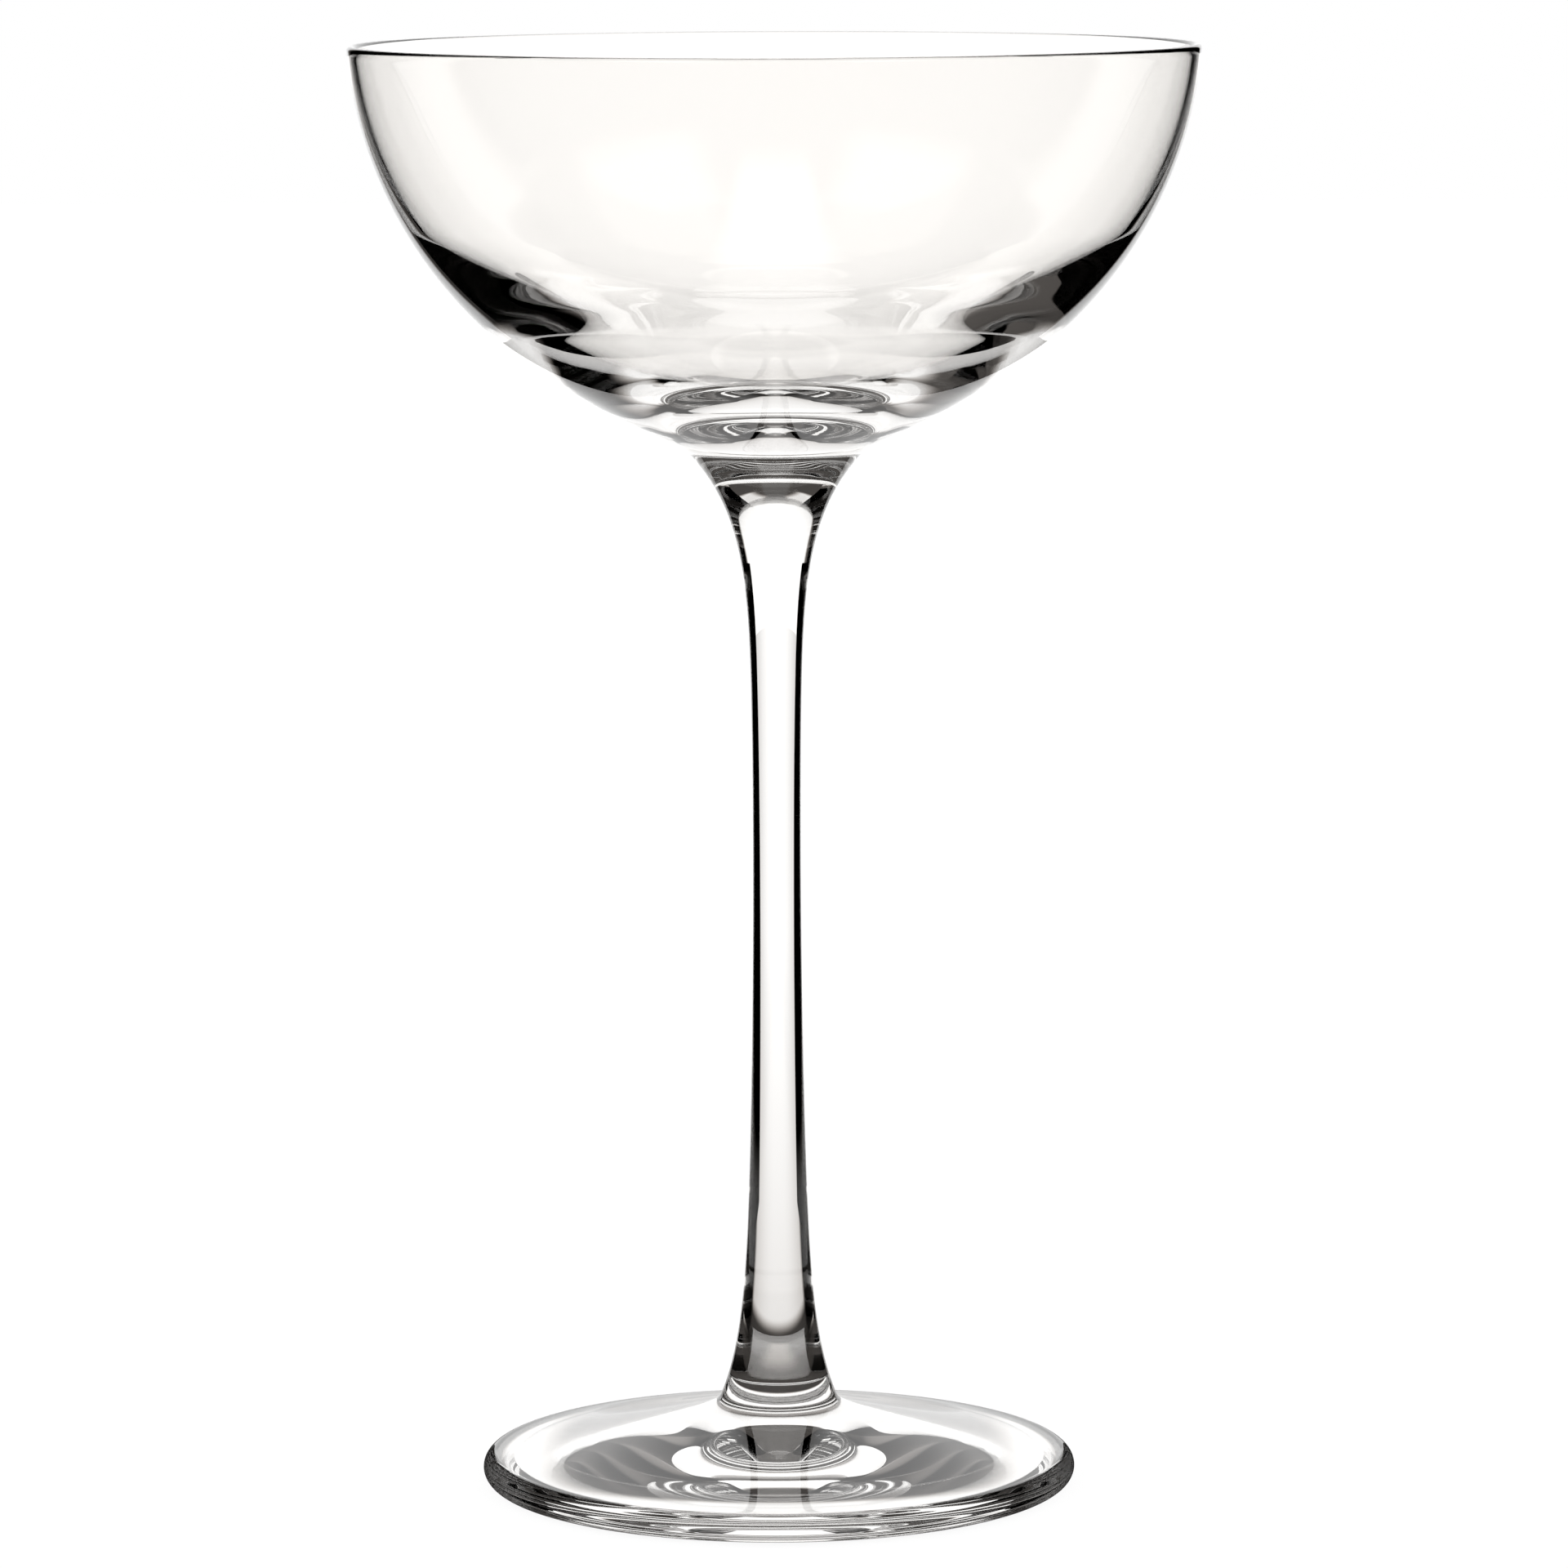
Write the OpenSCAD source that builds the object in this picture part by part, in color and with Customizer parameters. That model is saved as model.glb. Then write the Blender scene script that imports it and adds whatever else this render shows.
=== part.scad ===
// A stemmed coupe glass: a thin round bowl, a drawn stem and a coned foot, fused end to end.
// Millimetres, +Z up, with the origin on the table at the centre of the foot.

/* [Overall] */
// Height from the table to the top of the rim
glass_h = 178; // [160:1:200]
// Outer diameter at the rim
rim_d = 104; // [92:1:116]
// Outer diameter of the foot
foot_d = 73.6; // [64:0.2:84]

/* [Bowl] */
// Height of the side arc's centre above the rim
rim_rise = 3.8; // [1:0.2:8]
// Thickness of the wall at the rim
wall_t = 1.1; // [0.8:0.05:2]
// Extra thickness that the wall gains little by little on its way down to the axis
slow_gain = 1.95; // [0:0.05:4]
// Extra thickness that the wall gains in one soft step, where the thin side turns into the heavy base
step_gain = 1.25; // [0:0.05:3]
// Angle below level where that step begins
step_from = 30; // [20:0.5:38]
// Angle below level where it ends
step_to = 48.5; // [42:0.5:70]
// Angle below level where the round side gives way to the bottom arc
shoulder_angle = 52.3; // [48:0.1:58]
// Radius of the outside arc across the bottom
bottom_r = 61.7; // [58:0.1:72]
// Drop from the bottom of the outside arc to the seam with the stem
neck_drop = 4.5; // [1:0.5:8]
// How tightly the bottom turns into the neck, a larger power being tighter
neck_blend = 3.5; // [3:0.1:6]

/* [Stem] */
// Diameter at the waist, the thinnest place
waist_d = 5.9; // [4.5:0.1:9]
// Height of the waist above the table
waist_z = 80.3; // [60:0.1:95]
// Growth of the radius from the waist to the bowl, spread over the whole length
neck_taper = 0.95; // [0:0.01:2]
// Growth of the radius in the last stretch under the bowl
neck_flare = 6.5; // [3:0.1:9]
// How late the flare under the bowl begins, a larger power being later
neck_power = 6.3; // [4:0.1:10]
// Growth of the radius from the waist to the foot, spread over the whole length
root_taper = 1.66; // [0:0.02:3]
// Growth of the radius in the last stretch above the foot
root_flare = 3.1; // [1:0.1:6]
// How late the flare above the foot begins, a larger power being later
root_power = 9.6; // [5:0.1:14]

/* [Foot] */
// Thickness of the rounded edge
edge_t = 3.6; // [2.4:0.1:5]
// Height where the cone would meet the root of the stem
boss_z = 9.4; // [7:0.1:13]
// Radius of the stem's root there
boss_r = 8.1; // [6:0.1:11]
// How hollow the cone's slope is, 1 being straight
cone_power = 1.25; // [1.05:0.05:1.8]
// Height of the boss from there to the seam with the stem
boss_h = 2; // [1:0.5:5]
// How tightly the cone turns into the boss, a larger power being tighter
boss_blend = 8; // [5:0.5:14]
// Width of the flat ring that the glass stands on
rest_w = 2.5; // [1.5:0.5:6]
// Depth of the domed hollow inside the ring
hollow_h = 2.4; // [1:0.1:4.5]

/* [Hidden] */
$fn = 180;
glass_clear = [0.86, 0.93, 0.95, 0.45];
// Steps along one arc or one curve of a profile
steps = 28;

// The lip is half a round bar of the wall's thickness, and the outside and the inside end on it
lip_r = wall_t / 2;
lip_c = [rim_d / 2 - lip_r, glass_h - lip_r];
side_c = [0, glass_h + rim_rise];
side_r = norm(lip_c - side_c) + lip_r;
lip_angle = atan2(side_c.y - lip_c.y, lip_c.x);

// The bottom arc is tangent to the side arc at the shoulder and reaches the axis at the pole
bottom_c = side_c + (side_r - bottom_r) * [cos(shoulder_angle), -sin(shoulder_angle)];
pole_angle = acos(-bottom_c.x / bottom_r);
pole_z = bottom_c.y - bottom_r * sin(pole_angle);
shoulder_z = side_c.y - side_r * sin(shoulder_angle);
neck_seam_z = pole_z - neck_drop;

// The inside has the same centre as the side arc and comes nearer to it where the wall thickens
inside_r = side_r - wall_t;

root_seam_z = boss_z + boss_h;
edge_r = edge_t / 2;
edge_c = [foot_d / 2 - edge_r, edge_r];
hollow_r = edge_c.x - rest_w;
hollow_arc_r = (hollow_r * hollow_r + hollow_h * hollow_h) / (2 * hollow_h);
hollow_angle = asin(hollow_r / hollow_arc_r);
// Where the cone's curve crosses the height of the seam, counted from 0 at the edge to 1 at the boss
cone_end = pow((root_seam_z - edge_t) / (boss_z - edge_t), 1 / cone_power);

function share(value, from, to) = min(1, max(0, (value - from) / (to - from)));
function blend(a, b, power) = pow(pow(a, power) + pow(b, power), 1 / power);
function span(from, to) = [for (i = [0 : steps]) from + (to - from) * i / steps];

// Points of an arc, with angles counted down from level
function arc(centre, radius, from, to) =
    [for (a = span(from, to)) centre + radius * [cos(a), -sin(a)]];

// Points of the inside, from the lip down to the floor on the axis
function inside(from, to) =
    [for (a = span(from, to)) let (
        f = share(a, step_from, step_to),
        gain = slow_gain * pow(sin(90 * share(a, lip_angle, 90)), 2) + step_gain * f * f * (3 - 2 * f))
        side_c + (inside_r - gain) * [cos(a), -sin(a)]];

// Radius of the stem at a height, also used where it runs on into the bowl and the foot
function stem_radius(z) =
    let (up = max(0, (z - waist_z) / (pole_z - waist_z)), down = share(z, waist_z, boss_z))
    waist_d / 2 + neck_taper * pow(up, 2) + neck_flare * pow(up, neck_power)
        + root_taper * pow(down, 2) + root_flare * pow(down, root_power);

// The bowl's bottom with the stem's flare blended in, which fades out smoothly up to the shoulder
function with_neck(p) =
    let (f = share(p.y, pole_z, shoulder_z), fade = 1 - f * f * (3 - 2 * f))
    [blend(max(p.x, 0), stem_radius(p.y) * fade, neck_blend), p.y];

// Upper face of the foot, from its edge up the cone and the boss to the seam
function cone_point(s) =
    let (z = edge_t + (boss_z - edge_t) * pow(s, cone_power), r = edge_c.x - (edge_c.x - boss_r) * s)
    [blend(max(r, 0), stem_radius(z), boss_blend), z];

module bowl() {
    outside = concat(
        arc(side_c, side_r, lip_angle, shoulder_angle),
        arc(bottom_c, bottom_r, shoulder_angle, pole_angle));
    color(glass_clear) rotate_extrude() polygon(concat(
        [[0, neck_seam_z]],
        [for (z = span(neck_seam_z, pole_z)) [stem_radius(z), z]],
        [for (i = [len(outside) - 2 : -1 : 0]) with_neck(outside[i])],
        arc(lip_c, lip_r, lip_angle, lip_angle - 180),
        inside(lip_angle, step_from),
        inside(step_from, step_to),
        inside(step_to, 90)));
}

module stem() {
    color(glass_clear) rotate_extrude() polygon(concat(
        [[0, root_seam_z]],
        [for (z = span(root_seam_z, waist_z)) [stem_radius(z), z]],
        [for (z = span(waist_z, neck_seam_z)) [stem_radius(z), z]],
        [[0, neck_seam_z]]));
}

module foot() {
    color(glass_clear) rotate_extrude() polygon(concat(
        arc([0, hollow_h - hollow_arc_r], hollow_arc_r, -90, hollow_angle - 90),
        arc(edge_c, edge_r, 90, -90),
        [for (s = span(0, cone_end)) cone_point(s)],
        [[0, root_seam_z]]));
}

bowl();
stem();
foot();
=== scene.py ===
# %% [markdown]
# A tall coupe glass is three forms fused end to end: a thin blown bowl, a drawn stem and a coned foot.
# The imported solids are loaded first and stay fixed, and each dressed piece is made in the same frame, in
# metres, so it needs no fitting.

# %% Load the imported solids
import math

import bpy
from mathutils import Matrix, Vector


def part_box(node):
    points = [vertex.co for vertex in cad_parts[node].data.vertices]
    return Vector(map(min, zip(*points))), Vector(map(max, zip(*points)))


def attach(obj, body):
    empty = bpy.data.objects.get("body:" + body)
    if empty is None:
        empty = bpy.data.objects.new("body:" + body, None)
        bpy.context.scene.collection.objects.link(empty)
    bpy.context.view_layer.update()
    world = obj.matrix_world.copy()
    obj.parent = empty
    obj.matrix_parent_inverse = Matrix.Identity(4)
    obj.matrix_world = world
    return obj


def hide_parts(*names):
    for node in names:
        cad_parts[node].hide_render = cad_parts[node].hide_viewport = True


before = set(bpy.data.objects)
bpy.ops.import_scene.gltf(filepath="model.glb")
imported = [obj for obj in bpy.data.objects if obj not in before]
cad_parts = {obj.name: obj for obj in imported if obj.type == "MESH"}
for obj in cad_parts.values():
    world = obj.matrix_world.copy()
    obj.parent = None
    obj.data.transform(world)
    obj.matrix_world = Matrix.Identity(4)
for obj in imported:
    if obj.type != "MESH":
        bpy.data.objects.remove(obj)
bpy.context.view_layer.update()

# %% [markdown]
# The photograph looks slightly down on the glass through a long lens, so the rim is a thin ellipse and
# the foot a wider one. Those two ellipses fix the camera's distance and height. A camera could also be
# aimed by a constraint, but plain numbers are easier to read. The slight roll is the photograph's own.

# %% Camera
MM = 0.001
CAMERA_X, CAMERA_Y, CAMERA_Z = 1.3, -902.4, 206.6
CAMERA_DIP, CAMERA_ROLL = 7.537, 0.19
SENSOR_W, LENS = 36, 169.6
bpy.ops.object.select_all(action="DESELECT")
bpy.ops.object.camera_add(
    location=(CAMERA_X * MM, CAMERA_Y * MM, CAMERA_Z * MM),
    rotation=(math.radians(90 - CAMERA_DIP), math.radians(CAMERA_ROLL), 0))
camera = bpy.context.object
camera.name = "photo_camera"
camera.data.sensor_width = SENSOR_W
camera.data.lens = LENS
camera.data.dof.use_dof = False
bpy.context.scene.camera = camera
print("camera:", round(camera.data.lens, 1), "mm lens at", round(camera.location.length, 3), "m")

# %% [markdown]
# Clear glass has no colour of its own, so a photographer draws it with what stands round it. In a
# bright field the light comes from a white wall behind, and black cards beside the glass turn into
# its dark edges. An even white world alone would leave the glass almost invisible, and lamps would
# add hot spots, so the world only gives plain light, and the cards and a tent make the picture.
# Light runs on inside thick glass for many bounces, so the limits on bounces are high.

# %% Plain white world
BOUNCES, CLEAR_BOUNCES = 48, 24
scene = bpy.context.scene
scene.view_settings.view_transform = "Standard"
scene.cycles.max_bounces = BOUNCES
scene.cycles.transmission_bounces = BOUNCES
scene.cycles.glossy_bounces = BOUNCES
scene.cycles.transparent_max_bounces = CLEAR_BOUNCES
world = bpy.data.worlds.new("white_wall")
scene.world = world
world.use_nodes = True
white_wall = world.node_tree.nodes["Background"]
white_wall.inputs["Color"].default_value = (1, 1, 1, 1)
white_wall.inputs["Strength"].default_value = 1
print("world:", world.name, "with up to", BOUNCES, "bounces")

# %% [markdown]
# Cards, tent and table stand on one turning stand, like a photographer's set that is wheeled round
# together with the camera. A Locked Track constraint turns it about the glass's own axis, so a look from
# the side has the same bright field. The camera sees white paper only: the set shows in the glass.

# %% The turning stand
bpy.ops.object.select_all(action="DESELECT")
bpy.ops.object.empty_add(type="PLAIN_AXES", location=(0, 0, 0))
stand = bpy.context.object
stand.name = "set_stand"
bpy.ops.object.constraint_add(type="LOCKED_TRACK")
turning = stand.constraints[0]
turning.target = camera
turning.track_axis = "TRACK_NEGATIVE_Y"
turning.lock_axis = "LOCK_Z"
print("stand turns towards", turning.target.name)


def join_set(piece, name):
    piece.name = name
    piece.parent = stand
    print("on the stand:", name)


def hide_from_camera(piece):
    piece.visible_camera = False
    piece.visible_diffuse = False
    piece.visible_shadow = False


# %% [markdown]
# Paper and cloth on the set are written as an even glow, because their tone is all that the glass shows
# of them. White paper glows at 1, black card at 0, and what lies between is a warm grey, as in the
# photograph. A few small helpers keep the node work readable: one does a sum, one takes the length of two
# sides, and the eased ones go softly from one tone to the next, over a stretch in millimetres or degrees.

# %% Sums and soft steps in a material
def new_paper(name):
    paper = bpy.data.materials.new(name)
    paper.use_nodes = True
    paper.node_tree.nodes.clear()
    return paper


def feed(paper, value, socket):
    if isinstance(value, (int, float)):
        socket.default_value = value
    else:
        paper.node_tree.links.new(value, socket)


def sum_of(paper, operation, *values):
    node = paper.node_tree.nodes.new("ShaderNodeMath")
    node.operation = operation
    for socket, value in zip(node.inputs, values):
        feed(paper, value, socket)
    return node.outputs["Value"]


def length_of(paper, a, b):
    squares = sum_of(paper, "ADD", sum_of(paper, "MULTIPLY", a, a), sum_of(paper, "MULTIPLY", b, b))
    return sum_of(paper, "SQRT", squares)


def eased(paper, value, start, end, tone_before, tone_after):
    node = paper.node_tree.nodes.new("ShaderNodeMapRange")
    node.interpolation_type = "SMOOTHSTEP"
    feed(paper, value, node.inputs["Value"])
    feed(paper, start, node.inputs["From Min"])
    feed(paper, end, node.inputs["From Max"])
    feed(paper, tone_before, node.inputs["To Min"])
    feed(paper, tone_after, node.inputs["To Max"])
    return node.outputs["Result"]


def eased_mm(paper, length, stretch, tone_before, tone_after):
    start, end = stretch
    return eased(paper, length, start * MM, end * MM, tone_before, tone_after)


def eased_degrees(paper, angle, stretch, tone_before, tone_after):
    start, end = stretch
    return eased(paper, angle, math.radians(start), math.radians(end), tone_before, tone_after)


print("helpers for paper are ready")

# %% Glow of paper and cloth
WARM_GREY = (1.0, 0.92, 0.86, 1)
# A Mix node has sockets for every kind of value, and these are the places of the colour ones
COLOUR_A, COLOUR_B, COLOUR_RESULT = 6, 7, 2


def place_on(paper):
    place = paper.node_tree.nodes.new("ShaderNodeTexCoord")
    apart = paper.node_tree.nodes.new("ShaderNodeSeparateXYZ")
    paper.node_tree.links.new(place.outputs["Object"], apart.inputs["Vector"])
    return apart.outputs["X"], apart.outputs["Y"], apart.outputs["Z"]


def glow_of(paper, tone):
    nodes, links = paper.node_tree.nodes, paper.node_tree.links
    tint = nodes.new("ShaderNodeMix")
    tint.data_type = "RGBA"
    tint.inputs[COLOUR_A].default_value = WARM_GREY
    tint.inputs[COLOUR_B].default_value = (1, 1, 1, 1)
    glow = nodes.new("ShaderNodeEmission")
    links.new(tone, tint.inputs["Factor"])
    links.new(tint.outputs[COLOUR_RESULT], glow.inputs["Color"])
    links.new(tone, glow.inputs["Strength"])
    return glow.outputs["Emission"]


def finish_paper(paper, shader):
    end = paper.node_tree.nodes.new("ShaderNodeOutputMaterial")
    paper.node_tree.links.new(shader, end.inputs["Surface"])
    print("paper:", paper.name)


print("grey paper is tinted", WARM_GREY[:3])

# %% [markdown]
# Black cards beside the glass are its dark edges. A low pair close to the stem draws the stem's black lines.
# A tall pair further out draws the dark pools in the bowl and the black edge of the foot. Their back edges
# lean forward, so that the white wall shows past them in the lower bowl, and their upper halves fade out
# towards that edge, as the pools do. The tall left one is dark grey in front of the fade, which shows as a
# grey pane in the right pool of the photograph.

# %% Tones of the cards
CARD_LEAN = 0.31
PANE, PANE_TONE = (103, 104), 0.1
FADE, FADE_RISE = (113, 129), (90, 110)


def card_paper(name, pane_tone):
    paper = new_paper(name)
    y, z = place_on(paper)[1:]
    to_edge = sum_of(paper, "MULTIPLY_ADD", z, CARD_LEAN, y)
    pane = eased_mm(paper, to_edge, PANE, 0, pane_tone)
    fade = eased_mm(paper, to_edge, FADE, pane, 1)
    finish_paper(paper, glow_of(paper, eased_mm(paper, z, FADE_RISE, 0, fade)))
    return paper


black_card = card_paper("black_card", 0)
edged_card = card_paper("edged_card", PANE_TONE)

# %% [markdown]
# Each card is drawn corner by corner, as with a knife along a ruler, and then filled. A plane that is scaled
# would only give upright edges, and the leaning back edge matters in the bowl.

# %% Black cards beside the glass
CARD_X, CARD_H, CARD_FRONT, CARD_BACK = 72, 230, -300, 126
LOW_X, LOW_H, LOW_FRONT, LOW_BACK = 45, 126, -40, 63


def side_card(name, x, corners, paper):
    bpy.ops.object.select_all(action="DESELECT")
    bpy.ops.mesh.primitive_plane_add(size=MM, location=(0, 0, 0))
    sheet = bpy.context.object
    bpy.ops.object.mode_set(mode="EDIT")
    bpy.ops.mesh.select_all(action="SELECT")
    bpy.ops.mesh.merge(type="CENTER")
    y, z = corners[0]
    bpy.ops.transform.translate(value=(x * MM, y * MM, z * MM))
    for next_y, next_z in corners[1:]:
        bpy.ops.mesh.extrude_vertices_move(
            TRANSFORM_OT_translate={"value": (0, (next_y - y) * MM, (next_z - z) * MM)})
        y, z = next_y, next_z
    bpy.ops.mesh.select_all(action="SELECT")
    bpy.ops.mesh.edge_face_add()
    bpy.ops.object.mode_set(mode="OBJECT")
    sheet.data.materials.append(paper)
    hide_from_camera(sheet)
    join_set(sheet, name)


tall_back = CARD_BACK - CARD_LEAN * CARD_H
tall_corners = [(CARD_FRONT, 0), (CARD_FRONT, CARD_H), (tall_back, CARD_H), (CARD_BACK, 0)]
low_corners = [(LOW_FRONT, 0), (LOW_FRONT, LOW_H), (LOW_BACK, LOW_H), (LOW_BACK, 0)]
side_card("tall_left_card", -CARD_X, tall_corners, edged_card)
side_card("tall_right_card", CARD_X, tall_corners, black_card)
side_card("low_left_card", -LOW_X, low_corners, black_card)
side_card("low_right_card", LOW_X, low_corners, black_card)

# %% [markdown]
# The tent is the room as the glass sees it: a white wall behind, a dark front, where the camera stands, and
# a dark ceiling with a lamp high up on each side of the camera. The wall is a little brighter than paper,
# because each face of the glass mirrors some of its light away. Four walls and lamps would do the same, but a
# dome with its tones laid out by direction does it in one piece. Angles are turned away from the wall's
# middle, or rise above the table.

# %% Tent
TENT_R = 2.5
WALL_TONE, FRONT_TONE, CEILING_TONE, LAMP_TONE = 1.18, 0.06, 0.07, 0.85
WALL_TO_FRONT, WALL_TO_CEILING = (60, 100), (38, 43)
LAMP_START, LAMP_END, LAMP_TOP = (100, 110), (145, 160), (65, 75)
bpy.ops.object.select_all(action="DESELECT")
bpy.ops.mesh.primitive_uv_sphere_add(radius=TENT_R, segments=64, ring_count=32, location=(0, 0, 0))
tent = bpy.context.object
cloth = new_paper("tent_cloth")
tent.data.materials.append(cloth)
hide_from_camera(tent)
join_set(tent, "light_tent")
x, y, z = place_on(cloth)
turned_away = sum_of(cloth, "ABSOLUTE", sum_of(cloth, "ARCTAN2", x, y))
rise = sum_of(cloth, "ARCSINE", sum_of(cloth, "DIVIDE", z, TENT_R))
wall_tone = eased_degrees(cloth, turned_away, WALL_TO_FRONT, WALL_TONE, FRONT_TONE)
ceiling_tone = eased_degrees(cloth, turned_away, LAMP_START, CEILING_TONE, LAMP_TONE)
ceiling_tone = eased_degrees(cloth, turned_away, LAMP_END, ceiling_tone, CEILING_TONE)
ceiling_tone = eased_degrees(cloth, rise, LAMP_TOP, ceiling_tone, CEILING_TONE)
tent_tone = eased_degrees(cloth, rise, WALL_TO_CEILING, wall_tone, ceiling_tone)
finish_paper(cloth, glow_of(cloth, tent_tone))

# %% [markdown]
# The table is a white sweep, a touch below the foot, so that the two never share a plane. To the camera it is
# plain white paper with the faint shadow of the glass. Through the glass the table is graded instead, with
# painted shadows of the glass and the cards and a painted light streak, and the next cells lay that grading out
# on the sheet's own coordinates, in millimetres from the glass's axis.

# %% Floor sheet
FLOOR_W, FLOOR_DROP = 6, 0.2
bpy.ops.object.select_all(action="DESELECT")
bpy.ops.mesh.primitive_plane_add(size=FLOOR_W, location=(0, 0, -FLOOR_DROP * MM))
floor = bpy.context.object
sweep = new_paper("sweep_with_painted_shadows")
floor.data.materials.append(sweep)
join_set(floor, "floor_sheet")
x, behind = place_on(sweep)[:2]
aside = sum_of(sweep, "ABSOLUTE", x)

# %% [markdown]
# Right behind the foot the table carries a painted shadow of the glass, then it turns light, and it gains a
# little more towards the back. The light is a fan between the painted shadows of the cards, full in the middle
# and greyer to the sides with their painted shade, with light paper again past the cards.

# %% Table behind the foot
GLASS_SHADOW_TONE, LIGHT_TONE, FAR_GAIN, FAR = 0.015, 0.82, 0.36, 400
DARK_TO_LIGHT = (44, 56)
FAN_FADE, FAN_SIDE_TONE, FAN_EDGE = (5, 45), 0.65, (31, 37)
PAST_CARD = (CARD_X, CARD_X + 4)
# Painted shadow of the glass: dark right behind the foot, then light paper
painted_shadow_behind = eased_mm(sweep, behind, DARK_TO_LIGHT, GLASS_SHADOW_TONE, LIGHT_TONE)
far_back = sum_of(sweep, "MINIMUM", sum_of(sweep, "MAXIMUM", behind, 0), FAR * MM)
far_tone = sum_of(sweep, "MULTIPLY", far_back, FAR_GAIN / (FAR * MM))
turned_away = sum_of(sweep, "ABSOLUTE", sum_of(sweep, "ARCTAN2", x, behind))
# Painted shade of the cards: greyer to the sides of the fan and dark outside it, but light past the cards
card_shadow_fan = eased_degrees(sweep, turned_away, FAN_FADE, 1, FAN_SIDE_TONE)
in_fan = eased_degrees(sweep, turned_away, FAN_EDGE, 1, 0)
past_card = eased_mm(sweep, aside, PAST_CARD, 0, 1)
card_shadow_fan = sum_of(sweep, "MULTIPLY", card_shadow_fan, sum_of(sweep, "MAXIMUM", in_fan, past_card))
painted_shade_behind = sum_of(sweep, "MULTIPLY", sum_of(sweep, "ADD", painted_shadow_behind, far_tone), card_shadow_fan)
print("table dark to", DARK_TO_LIGHT[0], "mm behind the axis, light from", DARK_TO_LIGHT[1], "mm")

# %% [markdown]
# Under the foot the middle of the table is a painted shadow of the glass, and the ring outside it is white. The
# middle shows as the grey wings in the foot. A round one would leave the sides of the stem's root too bright,
# so it
# is a rounded square: both sides are squared before their length is taken. The ring ends just inside the foot's
# edge, and fades out towards the back, where the painted shadow goes on.

# %% Table under the foot
CORE_W, CORE_D, CORE_BACK, SHADOW_CORE_TONE = 26.5, 23, 2, 0.06
CORE_START, CORE_END = 0.88, 1.32
RING_EDGE, RING_BACK = (33.5, 34.5), (16, 26)
core_y = sum_of(sweep, "SUBTRACT", behind, CORE_BACK * MM)
across = sum_of(sweep, "POWER", sum_of(sweep, "DIVIDE", x, CORE_W * MM), 2)
along = sum_of(sweep, "POWER", sum_of(sweep, "DIVIDE", core_y, CORE_D * MM), 2)
# Painted shadow of the glass in the middle, white ring around it
ring_and_foot_shadow = eased(sweep, length_of(sweep, across, along), CORE_START, CORE_END, SHADOW_CORE_TONE, 1)
ring_and_foot_shadow = eased_mm(sweep, length_of(sweep, x, behind), RING_EDGE, ring_and_foot_shadow, 0)
ring_and_foot_shadow = eased_mm(sweep, behind, RING_BACK, ring_and_foot_shadow, 0)
print("table dark for", 2 * CORE_W, "mm under the foot, white out to", RING_EDGE[0], "mm from the axis")

# %% [markdown]
# A light streak runs back from the stem, as glass throws light in a line, and a white apron lies in front of
# the foot, which gives its front edge light to mirror. Where two of these areas meet, the lighter one counts.

# %% Streak and apron on the table
STREAK_TONE, STREAK_SIDE, STREAK_START, STREAK_END = 0.3, (1.5, 6.5), (12, 22), (31, 34)
APRON_SIDE, APRON_START, APRON_END = (30, 50), (-300, -200), (-38, -34)
streak = eased_mm(sweep, aside, STREAK_SIDE, STREAK_TONE, 0)
streak = eased_mm(sweep, behind, STREAK_START, 0, streak)
streak = eased_mm(sweep, behind, STREAK_END, streak, 0)
apron = eased_mm(sweep, aside, APRON_SIDE, 1, 0)
apron = eased_mm(sweep, behind, APRON_START, 0, apron)
apron = eased_mm(sweep, behind, APRON_END, apron, 0)
# For the glass the table shows the painted shadows, the painted light streak and the white apron; where they
# meet the lighter one counts
painted_table_shading = painted_shade_behind
for tone in (ring_and_foot_shadow, streak, apron):
    painted_table_shading = sum_of(sweep, "MAXIMUM", painted_table_shading, tone)
print("streak to", STREAK_END[1], "mm behind the axis, apron from", -APRON_END[1], "mm in front of it")

# %% [markdown]
# Light Path tells the kinds of rays apart: what the camera sees directly is plain white, and rays in the glass
# get the grading with its painted shadows and painted light streak. Most of the white is a glow, because a lit
# sheet is never evenly white, and a little grey diffuse paper on top keeps the shadow of the glass.

# %% Plain white for the camera, the grading for glass
PLAIN_GLOW, SHADOW_GREY = 0.93, (0.1, 0.1, 0.1, 1)
nodes, links = sweep.node_tree.nodes, sweep.node_tree.links
plain = nodes.new("ShaderNodeEmission")
plain.inputs["Strength"].default_value = PLAIN_GLOW
shadow = nodes.new("ShaderNodeBsdfDiffuse")
shadow.inputs["Color"].default_value = SHADOW_GREY
white = nodes.new("ShaderNodeAddShader")
links.new(plain.outputs["Emission"], white.inputs[0])
links.new(shadow.outputs["BSDF"], white.inputs[1])
ray = nodes.new("ShaderNodeLightPath")
in_glass = sum_of(sweep, "MAXIMUM", ray.outputs["Is Transmission Ray"], ray.outputs["Is Glossy Ray"])
choice = nodes.new("ShaderNodeMixShader")
links.new(in_glass, choice.inputs["Fac"])
links.new(white.outputs["Shader"], choice.inputs[1])
links.new(glow_of(sweep, painted_table_shading), choice.inputs[2])
finish_paper(sweep, choice.outputs["Shader"])

# %% [markdown]
# Every part of the glass is round, so one outline of radius and height describes it. The sizes are in
# millimetres, as on a workshop drawing. Arcs and smooth powers give the outline, the same ones that
# the solids follow, with many more points, because glass shows each flat in its reflections.

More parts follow.
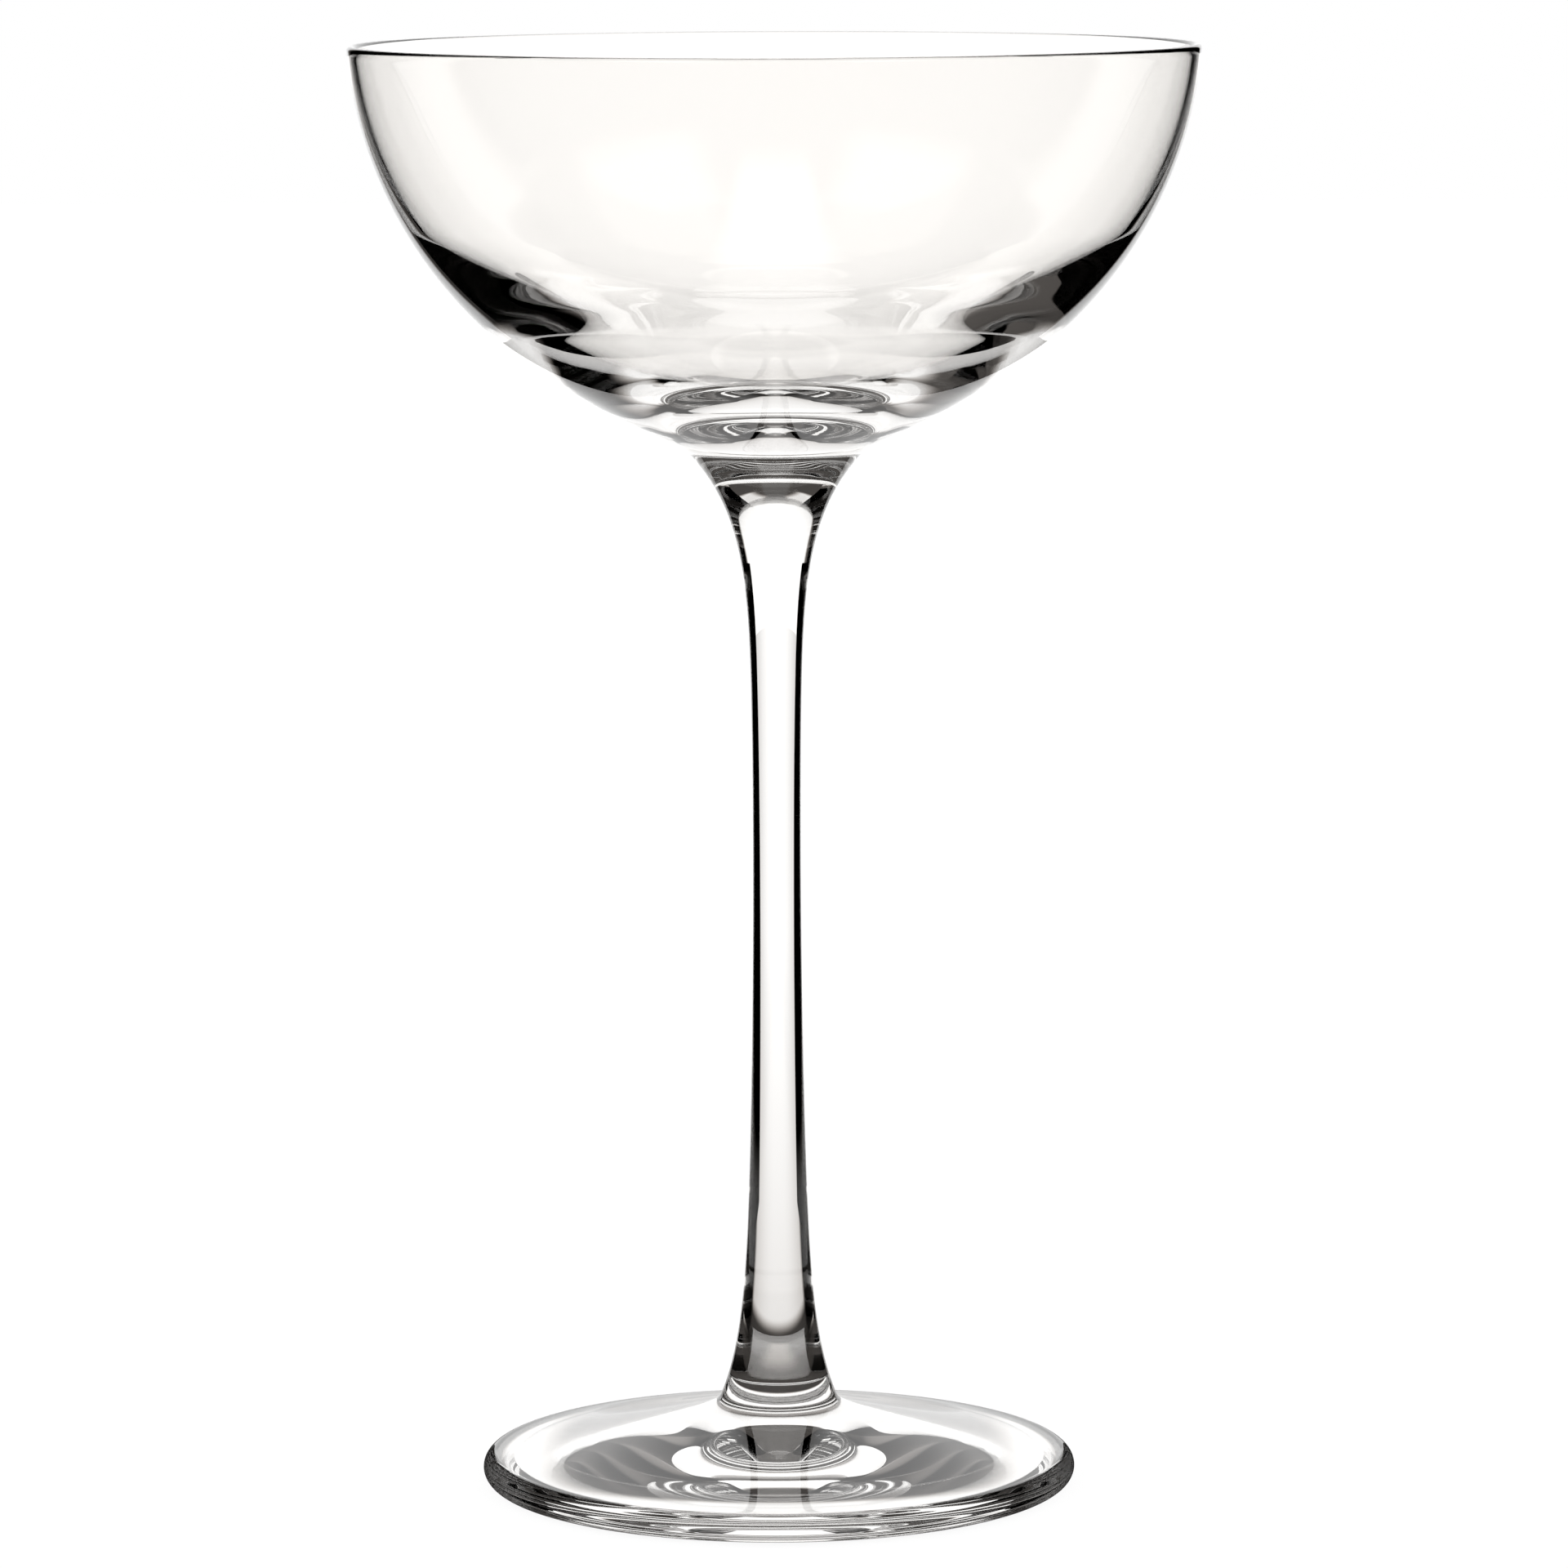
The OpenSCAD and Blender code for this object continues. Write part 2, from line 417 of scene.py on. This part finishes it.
# %% Sizes of the glass
GLASS_H, RIM_D, FOOT_D = 178, 104, 73.6
RIM_RISE, WALL_T = 3.8, 1.1
SLOW_GAIN, STEP_GAIN, STEP_FROM, STEP_TO = 1.95, 1.25, 30, 48.5
SHOULDER_ANGLE, BOTTOM_R = 52.3, 61.7
NECK_DROP, NECK_BLEND = 4.5, 3.5
WAIST_D, WAIST_Z = 5.9, 80.3
NECK_TAPER, NECK_FLARE, NECK_POWER = 0.95, 6.5, 6.3
ROOT_TAPER, ROOT_FLARE, ROOT_POWER = 1.66, 3.1, 9.6
EDGE_T, BOSS_Z, BOSS_R = 3.6, 9.4, 8.1
CONE_POWER, BOSS_H, BOSS_BLEND = 1.25, 2, 8
REST_W, HOLLOW_H = 2.5, 2.4
print("glass", GLASS_H, "mm high,", RIM_D, "mm across the rim,", FOOT_D, "mm across the foot")

# %% Centres and heights that follow from the sizes
lip_r = WALL_T / 2
lip_x, lip_z = RIM_D / 2 - lip_r, GLASS_H - lip_r
side_z = GLASS_H + RIM_RISE
side_r = math.hypot(lip_x, side_z - lip_z) + lip_r
lip_angle = math.degrees(math.atan2(side_z - lip_z, lip_x))
turn_cos, turn_sin = math.cos(math.radians(SHOULDER_ANGLE)), math.sin(math.radians(SHOULDER_ANGLE))
bottom_x = (side_r - BOTTOM_R) * turn_cos
bottom_z = side_z - (side_r - BOTTOM_R) * turn_sin
pole_angle = math.degrees(math.acos(-bottom_x / BOTTOM_R))
pole_z = bottom_z - BOTTOM_R * math.sin(math.radians(pole_angle))
shoulder_z = side_z - side_r * turn_sin
neck_seam = pole_z - NECK_DROP
floor_z = side_z - (side_r - WALL_T - SLOW_GAIN - STEP_GAIN)
root_seam = BOSS_Z + BOSS_H
edge_r = EDGE_T / 2
edge_x = FOOT_D / 2 - edge_r
hollow_r = edge_x - REST_W
hollow_arc_r = (hollow_r ** 2 + HOLLOW_H ** 2) / (2 * HOLLOW_H)
hollow_angle = math.degrees(math.asin(hollow_r / hollow_arc_r))
print("seams at", round(root_seam, 2), "and", round(neck_seam, 2), "mm, bowl floor at", round(floor_z, 2))


# %% Curves of the outline
def span(start, end, count):
    return [start + (end - start) * i / count for i in range(count + 1)]


def arc(x, z, r, start, end, count):
    angles = [math.radians(a) for a in span(start, end, count)]
    return [(x + r * math.cos(a), z - r * math.sin(a)) for a in angles]


def share(value, start, end):
    return min(1, max(0, (value - start) / (end - start)))


def blend_radii(a, b, power):
    return (max(a, 0) ** power + b ** power) ** (1 / power)


def stem_radius(z):
    up = max(0, (z - WAIST_Z) / (pole_z - WAIST_Z))
    down = share(z, WAIST_Z, BOSS_Z)
    return (WAIST_D / 2 + NECK_TAPER * up ** 2 + NECK_FLARE * up ** NECK_POWER
            + ROOT_TAPER * down ** 2 + ROOT_FLARE * down ** ROOT_POWER)


def with_neck(r, z):
    f = share(z, pole_z, shoulder_z)
    return blend_radii(r, stem_radius(z) * (1 - f * f * (3 - 2 * f)), NECK_BLEND), z


def inside_point(angle):
    f = share(angle, STEP_FROM, STEP_TO)
    slow = math.sin(math.radians(90 * share(angle, lip_angle, 90))) ** 2
    r = side_r - WALL_T - SLOW_GAIN * slow - STEP_GAIN * f * f * (3 - 2 * f)
    return r * math.cos(math.radians(angle)), side_z - r * math.sin(math.radians(angle))


def cone_point(s):
    z = EDGE_T + (BOSS_Z - EDGE_T) * s ** CONE_POWER
    return blend_radii(edge_x - (edge_x - BOSS_R) * s, stem_radius(z), BOSS_BLEND), z


print("radius at the waist", stem_radius(WAIST_Z), "mm")

# %% [markdown]
# Round glass is made turning, and so is its model: one point is drawn out along the outline, extrude
# by extrude, and the finished line is spun about the axis. A Screw modifier would do the same, but the
# spin leaves a plain mesh at once. Doubles along the axis and at the start are merged, which closes
# the poles, and then the normals are turned outwards.

# %% Turning a piece on its axis
SAME_PLACE, SHARP_ANGLE = 0.001, 30


def turned(name, outline, sides):
    bpy.ops.object.select_all(action="DESELECT")
    bpy.ops.mesh.primitive_plane_add(size=MM, location=(0, 0, 0))
    piece = bpy.context.object
    piece.name = name
    bpy.ops.object.mode_set(mode="EDIT")
    bpy.ops.mesh.select_all(action="SELECT")
    bpy.ops.mesh.merge(type="CENTER")
    r, z = outline[0]
    bpy.ops.transform.translate(value=(r * MM, 0, z * MM))
    for next_r, next_z in outline[1:]:
        bpy.ops.mesh.extrude_vertices_move(
            TRANSFORM_OT_translate={"value": ((next_r - r) * MM, 0, (next_z - z) * MM)})
        r, z = next_r, next_z
    bpy.ops.mesh.select_all(action="SELECT")
    bpy.ops.mesh.spin(steps=sides, angle=math.tau, center=(0, 0, 0), axis=(0, 0, 1))
    bpy.ops.mesh.select_all(action="SELECT")
    bpy.ops.mesh.remove_doubles(threshold=SAME_PLACE * MM)
    bpy.ops.mesh.normals_make_consistent(inside=False)
    bpy.ops.object.mode_set(mode="OBJECT")
    bpy.ops.object.shade_smooth_by_angle(angle=math.radians(SHARP_ANGLE))
    print(name, "has", len(piece.data.polygons), "faces")
    return piece


# %% [markdown]
# The bowl is blown thin at the rim and left thick at the bottom, where its weight sits over the stem.
# The outline starts on the axis at the joint, runs out and up the outside, round the lip, and down the
# inside, where the wall gains thickness slowly and then in one soft step. A shell with one thickness
# would miss that heavy base, and with it the dark band that the step draws in the lower bowl. The points
# lie closest where the step is.

# %% Bowl
WIDE_SIDES = 224
CLOSE_FROM, CLOSE_TO = 25, 55
bottom_arc = arc(bottom_x, bottom_z, BOTTOM_R, pole_angle, SHOULDER_ANGLE, count=70)
side_arc = arc(0, side_z, side_r, SHOULDER_ANGLE, lip_angle, count=60)
inside_angles = span(lip_angle, CLOSE_FROM, count=30)[1:]
inside_angles += span(CLOSE_FROM, CLOSE_TO, count=60)[1:]
inside_angles += span(CLOSE_TO, 90, count=40)[1:]
bowl_outline = [(0, neck_seam)]
bowl_outline += [(stem_radius(z), z) for z in span(neck_seam, pole_z, count=24)]
bowl_outline += [with_neck(r, z) for r, z in bottom_arc[1:] + side_arc[1:]]
bowl_outline += arc(lip_x, lip_z, lip_r, lip_angle, lip_angle - 180, count=18)[1:]
bowl_outline += [inside_point(angle) for angle in inside_angles]
bowl_outline[-1] = (0, floor_z)
bowl = turned("blown_bowl", bowl_outline, WIDE_SIDES)

# %% [markdown]
# The stem is drawn from hot glass: thinnest at the waist, with a long flare into the bowl and a short
# one into the foot. Two stretched cones would show a corner at the waist, so the radius is a sum of
# smooth powers of the height. The points lie closest in the two flares.

# %% Stem
STEM_SIDES = 128
ROOT_END, NECK_START = 30, 100
stem_heights = span(root_seam, ROOT_END, count=60)
stem_heights += span(ROOT_END, NECK_START, count=60)[1:]
stem_heights += span(NECK_START, neck_seam, count=70)[1:]
stem_outline = [(0, root_seam)]
stem_outline += [(stem_radius(z), z) for z in stem_heights]
stem_outline += [(0, neck_seam)]
stem = turned("drawn_stem", stem_outline, STEM_SIDES)

# %% [markdown]
# The foot is a low cone with a rounded edge, hollow underneath, so that it stands on a flat ring.
# Its cone turns up into a small boss, where the stem is fused on. Two more points just inside the ring's
# edges keep its shading flat, where smooth shading alone would round it.

# %% Foot
FLAT_EDGE = 0.1
cone_end = ((root_seam - EDGE_T) / (BOSS_Z - EDGE_T)) ** (1 / CONE_POWER)
foot_outline = arc(0, HOLLOW_H - hollow_arc_r, hollow_arc_r, -90, hollow_angle - 90, count=70)
foot_outline[0] = (0, HOLLOW_H)
foot_outline += [(hollow_r + FLAT_EDGE, 0), (edge_x - FLAT_EDGE, 0)]
foot_outline += arc(edge_x, edge_r, edge_r, 90, -90, count=60)
foot_outline += [cone_point(s) for s in span(0, cone_end, count=110)[1:]]
foot_outline += [(0, root_seam)]
foot = turned("pressed_foot", foot_outline, WIDE_SIDES)

# %% [markdown]
# Clear glass bends light and mirrors it at a slant, so it is a Principled shader with full transmission
# and the index of soda-lime glass. Real pieces are never quite even: a blown wall has broad soft
# waves, a drawn stem fine lines along its length, a pressed foot a faint unevenness. A Bump node gives
# them at a height of at most a few thousandths of a millimetre, because light runs along inside the glass
# for many bounces and each one adds to it.

# %% Glass with its own waves
GLASS_IOR = 1.52
GLASS_TINT = (1.0, 0.988, 0.972, 1)


def wavy_glass(name, wave_scale, wave_height):
    finish = bpy.data.materials.new(name)
    finish.use_nodes = True
    nodes, links = finish.node_tree.nodes, finish.node_tree.links
    glass = nodes["Principled BSDF"]
    glass.inputs["Base Color"].default_value = GLASS_TINT
    glass.inputs["Transmission Weight"].default_value = 1
    glass.inputs["IOR"].default_value = GLASS_IOR
    place = nodes.new("ShaderNodeTexCoord")
    stretch = nodes.new("ShaderNodeMapping")
    stretch.inputs["Scale"].default_value = wave_scale
    links.new(place.outputs["Object"], stretch.inputs["Vector"])
    waves = nodes.new("ShaderNodeTexNoise")
    waves.inputs["Scale"].default_value = 1
    waves.inputs["Detail"].default_value = 1
    links.new(stretch.outputs["Vector"], waves.inputs["Vector"])
    relief = nodes.new("ShaderNodeBump")
    relief.inputs["Strength"].default_value = 1
    relief.inputs["Distance"].default_value = wave_height * MM
    links.new(waves.outputs["Fac"], relief.inputs["Height"])
    links.new(relief.outputs["Normal"], glass.inputs["Normal"])
    print("glass:", name)
    return finish


bowl_glass = wavy_glass("bowl_glass", (30, 30, 60), 0.002)
stem_glass = wavy_glass("stem_glass", (500, 500, 12), 0.0005)
foot_glass = wavy_glass("foot_glass", (60, 60, 60), 0.0005)

# %% [markdown]
# Fire polish is almost perfect, and hands dull it a little in patches. A noise with its lower half cut off
# gives such patches, and they raise the roughness by a trace. One even roughness would blur the whole glass.

# %% Traces of hands
TOUCH_SCALE, TOUCH_DETAIL, TOUCH_FROM, TOUCH_FULL, TOUCH_ROUGH = 60, 4, 0.45, 0.75, 0.004


def touch(finish):
    nodes, links = finish.node_tree.nodes, finish.node_tree.links
    patches = nodes.new("ShaderNodeTexNoise")
    patches.inputs["Scale"].default_value = TOUCH_SCALE
    patches.inputs["Detail"].default_value = TOUCH_DETAIL
    links.new(nodes["Texture Coordinate"].outputs["Object"], patches.inputs["Vector"])
    dull = nodes.new("ShaderNodeMapRange")
    dull.inputs["From Min"].default_value = TOUCH_FROM
    dull.inputs["From Max"].default_value = TOUCH_FULL
    dull.inputs["To Max"].default_value = TOUCH_ROUGH
    links.new(patches.outputs["Fac"], dull.inputs["Value"])
    links.new(dull.outputs["Result"], nodes["Principled BSDF"].inputs["Roughness"])
    print("touched:", finish.name)
    return dull.outputs["Result"]


touch(bowl_glass)
touch(stem_glass)
foot_touch = touch(foot_glass)

# %% [markdown]
# The ring under the foot is the one place that rubs on tables and trays, so its polish is a little duller.
# A mask on the height picks out the lowest part of the foot, and a tight noise breaks it into scuffs, which
# are added to the roughness. They stay faint, because the edge gathers light from the ring over many bounces,
# and stronger wear would turn it milky.

# %% Wear on the rest ring
WEAR_FULL, WEAR_TOP, WEAR_ROUGH = 0.05, 0.4, 0.02
SCUFF_SCALE, SCUFF_DETAIL = 900, 3
nodes, links = foot_glass.node_tree.nodes, foot_glass.node_tree.links
height = place_on(foot_glass)[2]
near_table = nodes.new("ShaderNodeMapRange")
near_table.inputs["From Min"].default_value = WEAR_FULL * MM
near_table.inputs["From Max"].default_value = WEAR_TOP * MM
near_table.inputs["To Min"].default_value = 1
near_table.inputs["To Max"].default_value = 0
links.new(height, near_table.inputs["Value"])
scuffs = nodes.new("ShaderNodeTexNoise")
scuffs.inputs["Scale"].default_value = SCUFF_SCALE
scuffs.inputs["Detail"].default_value = SCUFF_DETAIL
links.new(nodes["Texture Coordinate"].outputs["Object"], scuffs.inputs["Vector"])
worn = sum_of(foot_glass, "MULTIPLY", near_table.outputs["Result"], scuffs.outputs["Fac"])
rough = sum_of(foot_glass, "MULTIPLY_ADD", worn, WEAR_ROUGH, foot_touch)
links.new(rough, nodes["Principled BSDF"].inputs["Roughness"])
print("wear on", foot_glass.name)

# %% [markdown]
# Where the three parts are fused, hot glass has run together and nothing is left to see. The pieces
# are still closed, each with a flat end, so those end faces get a finish that lets light pass
# straight on. Without it every joint would shine like a crack.

# %% Fused joints
LEVEL = 0.99
fused_joint = bpy.data.materials.new("fused_joint")
fused_joint.use_nodes = True
fused_joint.node_tree.nodes["Principled BSDF"].inputs["Alpha"].default_value = 0


def dress(piece, glass, seams):
    piece.data.materials.append(glass)
    piece.data.materials.append(fused_joint)
    level_faces = [face for face in piece.data.polygons if abs(face.normal.z) > LEVEL]
    ends = [face for face in level_faces
            if min(abs(face.center.z - z * MM) for z in seams) < SAME_PLACE * MM]
    for face in ends:
        face.material_index = 1
    print(piece.name, "has", len(ends), "joint faces")


dress(bowl, bowl_glass, [neck_seam])
dress(stem, stem_glass, [neck_seam, root_seam])
dress(foot, foot_glass, [root_seam])

# %% [markdown]
# Last, each piece is tied to the imported model: it rides on the one body and stands in for its solid.

# %% Tie the pieces to the model
for piece, solid in ((bowl, "bowl"), (stem, "stem"), (foot, "foot")):
    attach(piece, "root")
    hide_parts(solid)
    low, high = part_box(solid)
    print(piece.name, "stands for", solid, "from", round(low.z, 4), "to", round(high.z, 4), "m")
